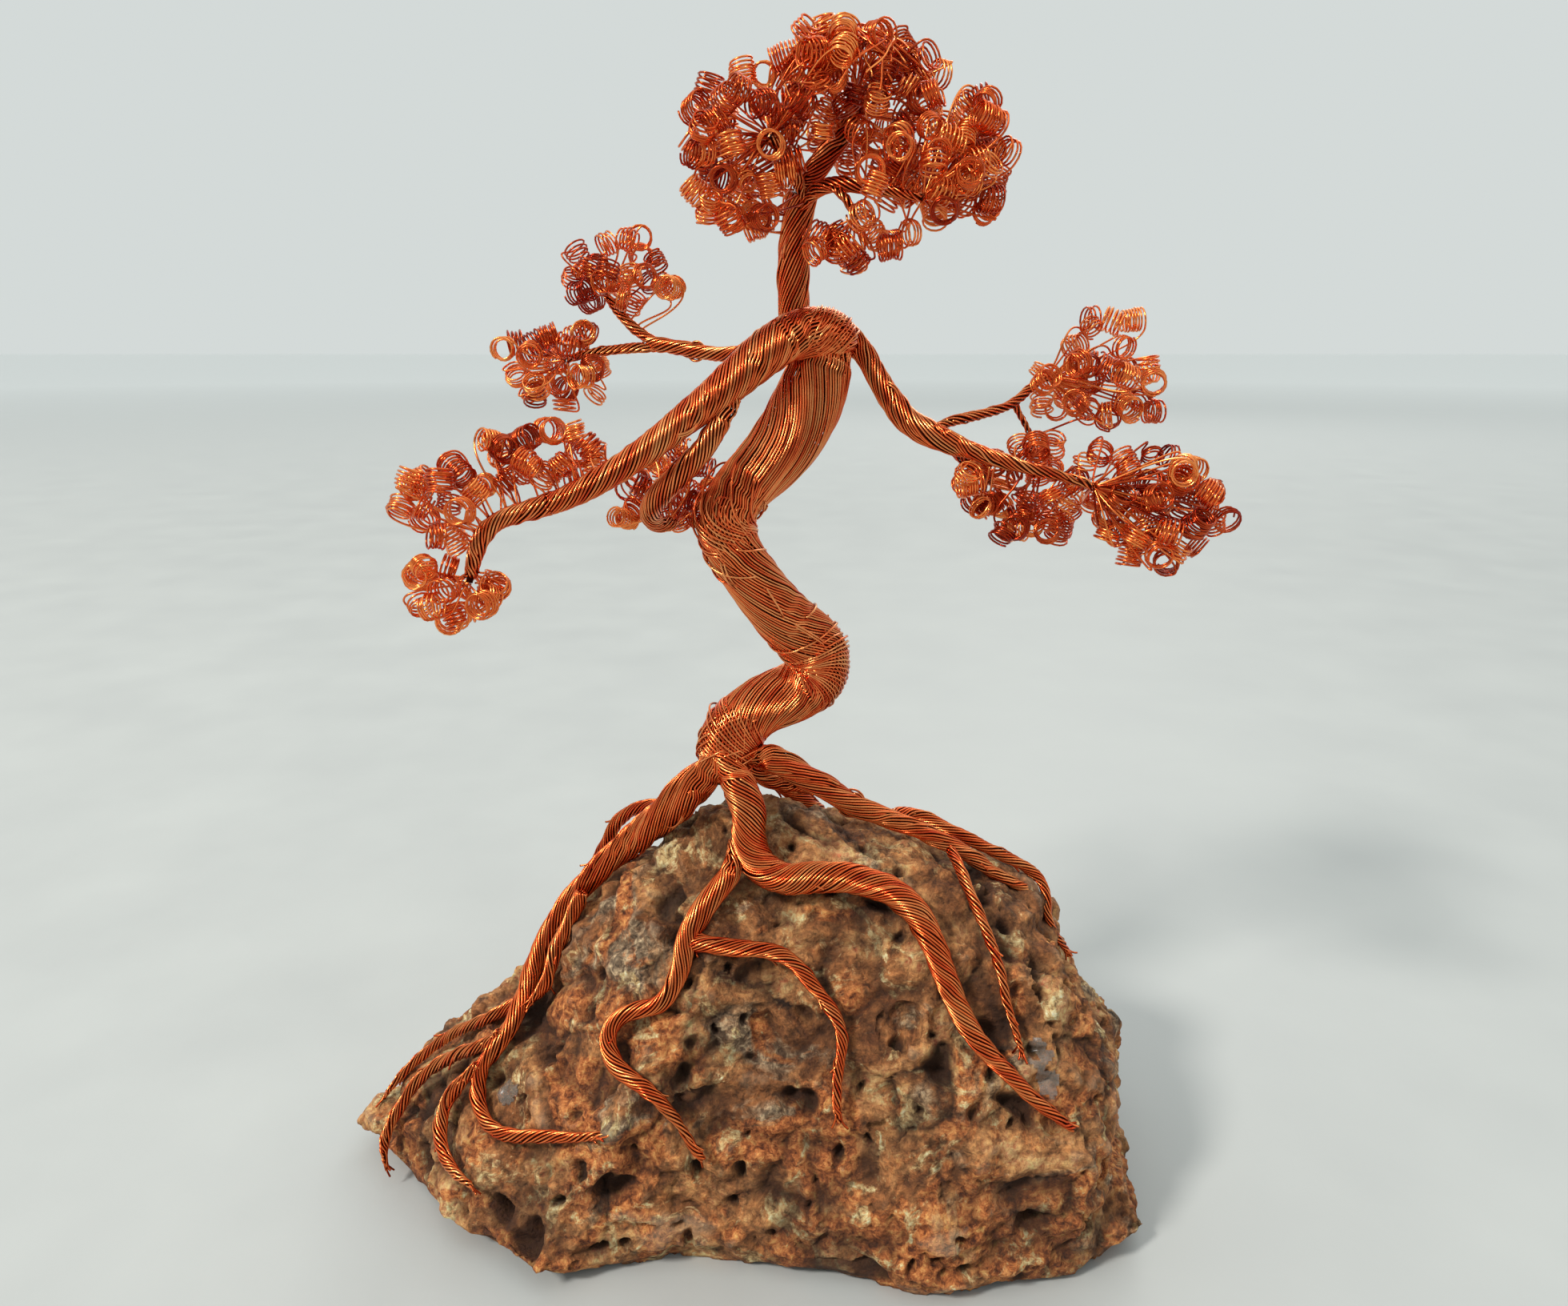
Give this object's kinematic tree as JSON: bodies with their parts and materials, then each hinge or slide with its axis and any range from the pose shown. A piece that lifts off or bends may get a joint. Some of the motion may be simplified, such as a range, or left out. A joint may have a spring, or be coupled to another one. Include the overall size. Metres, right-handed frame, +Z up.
{
  "type": "wire bonsai tree on a rock",
  "caption": "Bonsai tree of wound and twisted copper wire with coiled wire leaves, its wire roots gripping a porous brown rock that stands on its own flat underside.",
  "frame": {"origin": "middle of the rock's flat underside, on the plane that it stands on, below the trunk", "axes": "+Z up along the tree's height; +Y from the front of the sculpture to its back; +X to the viewer's right"},
  "size_m": [0.1995, 0.0983, 0.2548],
  "materials": {
    "porous_stone": "rough porous brown rock with ochre and cream patches",
    "copper_wire": "bare enamelled copper craft wire, glossy",
    "copper_core": "bare copper armature wire",
    "copper_root_wire": "twisted bare copper craft wire",
    "copper_leaf_wire": "coiled bare copper craft wire",
    "copper_tie_wire": "single bare copper wire",
    "clear_glue": "milky dried glue"
  },
  "bodies": {
    "root": {"rock": "porous_stone", "root_left_main": "copper_root_wire", "root_left_side_strand": "copper_root_wire", "root_left_thin_outer": "copper_root_wire", "root_left_thin_middle": "copper_root_wire", "root_left_thin_inner": "copper_root_wire", "root_centre": "copper_root_wire", "root_middle_left": "copper_root_wire", "root_middle_left_fork": "copper_root_wire", "root_right_main": "copper_root_wire", "root_right_lower_strand": "copper_root_wire", "root_right_upper_strand": "copper_root_wire", "root_right_middle_strand": "copper_root_wire", "root_rear_left": "copper_root_wire", "root_rear_right": "copper_root_wire", "left_long_branch": "copper_wire", "left_long_branch_tip": "copper_wire", "left_inner_branch": "copper_wire", "leader_stem": "copper_wire", "crown_spray_up": "copper_wire", "crown_spray_left": "copper_wire", "crown_spray_right": "copper_wire", "crown_droop_twig": "copper_wire", "left_upper_branch": "copper_wire", "left_upper_twig": "copper_wire", "left_upper_side_twig": "copper_wire", "right_branch": "copper_wire", "right_lower_limb": "copper_wire", "right_upper_twig": "copper_wire", "right_small_twig": "copper_wire", "trunk_core": "copper_core", "trunk_winding_lower": "copper_wire", "trunk_winding_middle": "copper_wire", "trunk_winding_upper": "copper_wire", "foliage_crown_top": "copper_leaf_wire", "foliage_crown_left": "copper_leaf_wire", "foliage_crown_right": "copper_leaf_wire", "foliage_crown_droop": "copper_leaf_wire", "foliage_upper_left_top": "copper_leaf_wire", "foliage_upper_left_side": "copper_leaf_wire", "foliage_long_branch_rise": "copper_leaf_wire", "foliage_long_branch_tip": "copper_leaf_wire", "foliage_long_branch_hanging": "copper_leaf_wire", "foliage_inner": "copper_leaf_wire", "foliage_right_top": "copper_leaf_wire", "foliage_right_upper": "copper_leaf_wire", "foliage_right_middle": "copper_leaf_wire", "foliage_right_low": "copper_leaf_wire", "trunk_ties": "copper_tie_wire", "branch_ties": "copper_tie_wire", "root_ties": "copper_tie_wire", "glue_dabs": "clear_glue"}
  },
  "joints": []
}
